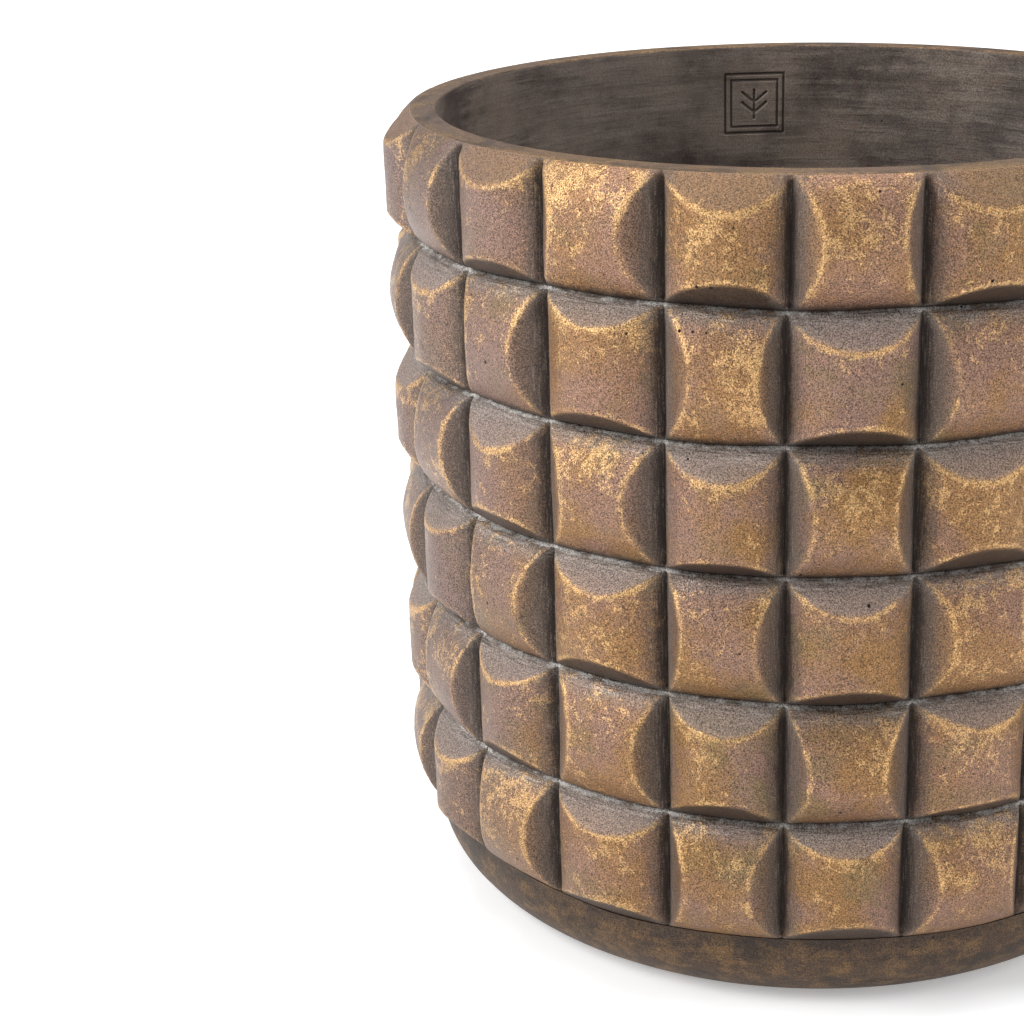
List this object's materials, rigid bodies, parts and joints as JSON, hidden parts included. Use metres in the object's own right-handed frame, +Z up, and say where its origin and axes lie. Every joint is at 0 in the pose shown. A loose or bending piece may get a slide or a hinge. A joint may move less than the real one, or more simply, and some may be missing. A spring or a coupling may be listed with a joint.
{
  "type": "planter pot",
  "caption": "Heavy cylindrical planter pot with courses of pillow-shaped studs, a smooth lip, a rounded foot and a pull-out drain plug.",
  "frame": {"origin": "centre of the pot's underside, on the surface it stands on", "axes": "+Z up along the pot's axis, -Y towards the front; the stamp inside is at the back, 9 degrees from +Y towards -X"},
  "size_m": [0.4, 0.4, 0.375],
  "materials": {
    "patina": "satin",
    "inside": "matte",
    "plug": "matte"
  },
  "bodies": {
    "pot": {"lip_ring": "patina", "stud_course_1": "patina", "stud_course_2": "patina", "stud_course_3": "patina", "stud_course_4": "patina", "stud_course_5": "patina", "stud_course_6": "patina", "foot_ring": "patina", "lining": "inside", "floor_disc": "inside"},
    "plug": {"drain_plug": "plug"}
  },
  "joints": [
    {"name": "plug_pull", "type": "slide", "parent": "pot", "child": "plug", "axis": [0, 0, 1], "range_m": [0, 0.4]}
  ]
}
